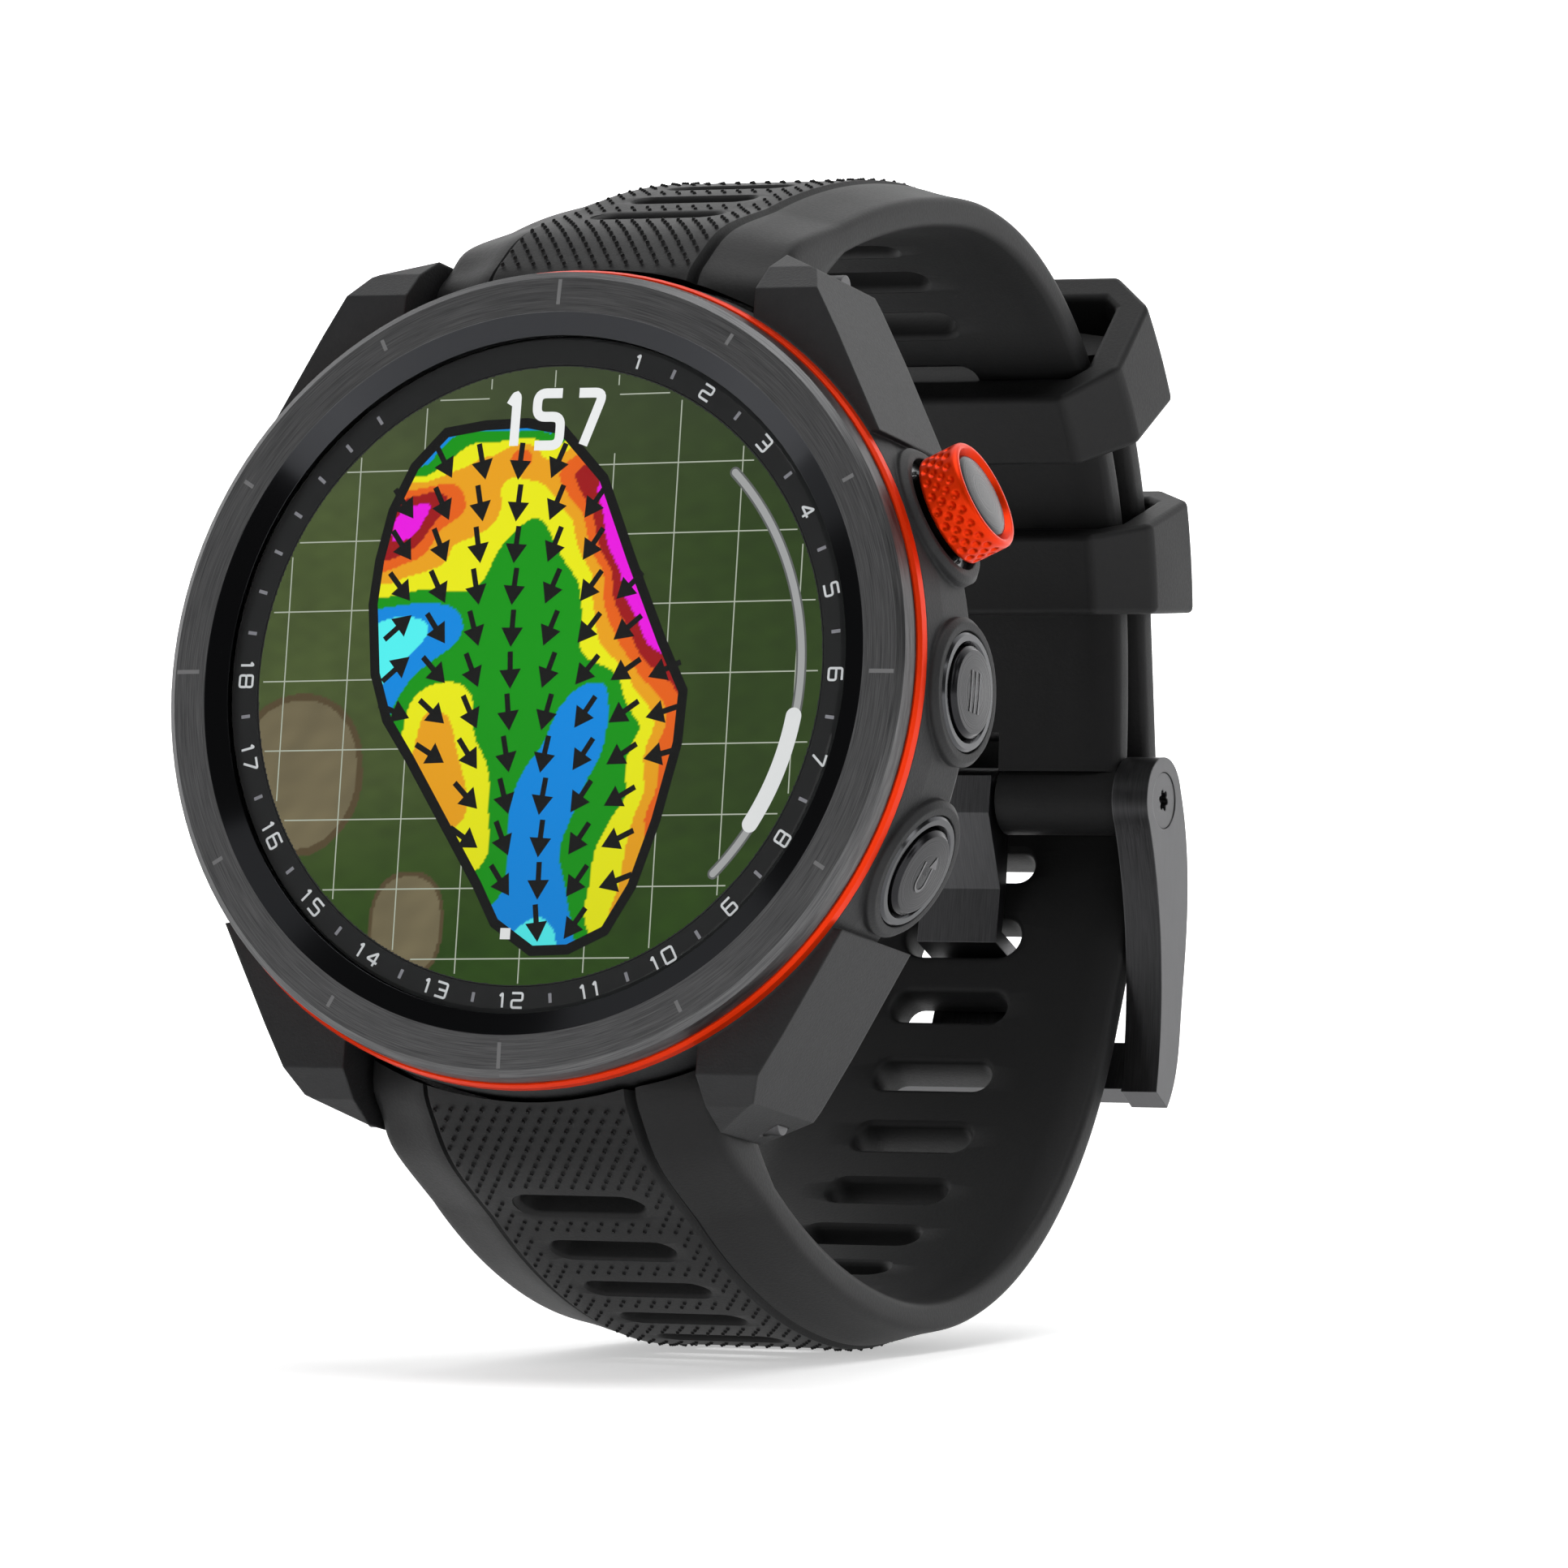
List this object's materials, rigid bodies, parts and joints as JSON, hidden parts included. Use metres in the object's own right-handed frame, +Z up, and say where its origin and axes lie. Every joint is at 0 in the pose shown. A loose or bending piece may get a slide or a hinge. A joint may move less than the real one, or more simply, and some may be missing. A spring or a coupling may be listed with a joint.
{
  "type": "golf gps watch",
  "caption": "Round golf gps wristwatch with a brushed bezel, side buttons, a ringed dial, and a perforated silicone strap closed by a pin buckle and keepers.",
  "frame": {"origin": "centre of the wrist opening, level with the middle of the dial and 37 mm behind the bezel's front face", "axes": "+X towards the 3 o'clock side and along the wrist, +Z up, dial facing -Y and leaning back 10 degrees"},
  "size_m": [0.0501, 0.0727, 0.0705],
  "materials": {
    "case": "fine-grained matte polymer, dark graphite",
    "bezel": "circular-brushed, dark graphite coating",
    "accent": "anodised orange-red",
    "lens": "clear chemically hardened glass",
    "scale": "printed black with pale numerals",
    "seal_rubber": "soft seal",
    "display": "lit colour display",
    "inner_plastic": "moulded",
    "circuit": "solder-masked board",
    "battery": "foil pouch",
    "antenna": "ceramic",
    "window": "glossy dark window",
    "contact": "gold-plated",
    "flex": "polyimide flex",
    "steel": "stainless steel",
    "cap": "spun-finished, black anodised",
    "collar": "polished, dark",
    "black_steel": "brushed, black coated",
    "silicone": "matte silicone with a fine grain"
  },
  "bodies": {
    "watch": {"case_body": "case", "lug_pin_upper": "steel", "lug_pin_lower": "steel", "bezel": "bezel", "accent_ring": "accent", "lens": "lens", "scale_ring": "scale", "lens_gasket": "seal_rubber", "display_panel": "display", "display_frame": "inner_plastic", "main_board": "circuit", "battery": "battery", "vibration_motor": "steel", "gnss_antenna": "antenna", "back_cover": "case", "back_gasket": "seal_rubber", "back_screws": "steel", "sensor_window": "window", "sensor_board": "circuit", "charge_contacts": "contact", "tact_switches": "inner_plastic", "side_flex": "flex", "strap_short": "silicone", "strap_long": "silicone", "keeper_lower": "silicone", "latch_spring_upper": "steel", "latch_spring_lower": "steel", "start_spring": "steel", "start_seal": "seal_rubber", "start_collar": "collar", "menu_spring": "steel", "menu_seal": "seal_rubber", "menu_collar": "collar", "back_spring": "steel", "back_seal": "seal_rubber", "back_collar": "collar"},
    "start_button": {"start_cap": "cap", "start_clip": "steel", "start_grip": "accent"},
    "menu_button": {"menu_cap": "cap", "menu_clip": "steel"},
    "back_button": {"back_cap": "cap", "back_clip": "steel"},
    "keeper_loop": {"keeper_upper": "silicone"},
    "buckle": {"buckle_frame": "black_steel", "buckle_axle": "steel", "buckle_screws": "black_steel"},
    "tongue": {"buckle_tongue": "black_steel"},
    "latch_top": {"latch_upper": "steel"},
    "latch_bottom": {"latch_lower": "steel"}
  },
  "joints": [
    {"name": "start_press", "type": "slide", "parent": "watch", "child": "start_button", "axis": [-0.9063, -0.0734, -0.4162], "range_m": [0, 0.0006], "stiffness_N_per_m": 1200, "springref_m": -0.0006, "deforming": ["start_spring"]},
    {"name": "menu_press", "type": "slide", "parent": "watch", "child": "menu_button", "axis": [-1, 0, 0], "range_m": [0, 0.0006], "stiffness_N_per_m": 1200, "springref_m": -0.0006, "deforming": ["menu_spring"]},
    {"name": "back_press", "type": "slide", "parent": "watch", "child": "back_button", "axis": [-0.9063, 0.0734, 0.4162], "range_m": [0, 0.0006], "stiffness_N_per_m": 1200, "springref_m": -0.0006, "deforming": ["back_spring"]},
    {"name": "keeper_slide", "type": "hinge", "parent": "watch", "child": "keeper_loop", "pos_m": [0, -0.00025, 0.00972], "axis": [1, 0, 0], "range_deg": [-10, 20]},
    {"name": "buckle_fold", "type": "hinge", "parent": "watch", "child": "buckle", "pos_m": [0, 0.02442, -0.00146], "axis": [1, 0, 0], "range_deg": [0, 100]},
    {"name": "tongue_tilt", "type": "hinge", "parent": "watch", "child": "tongue", "pos_m": [0, 0.02442, -0.00146], "axis": [1, 0, 0], "range_deg": [-1, 1.5]},
    {"name": "latch_upper_slide", "type": "slide", "parent": "watch", "child": "latch_top", "axis": [0, 0.7484, 0.6632], "range_m": [0, 0.001], "stiffness_N_per_m": 400, "springref_m": -0.001, "deforming": ["latch_spring_upper"]},
    {"name": "latch_lower_slide", "type": "slide", "parent": "watch", "child": "latch_bottom", "axis": [0, 0.4764, -0.8792], "range_m": [0, 0.001], "stiffness_N_per_m": 400, "springref_m": -0.001, "deforming": ["latch_spring_lower"]}
  ]
}
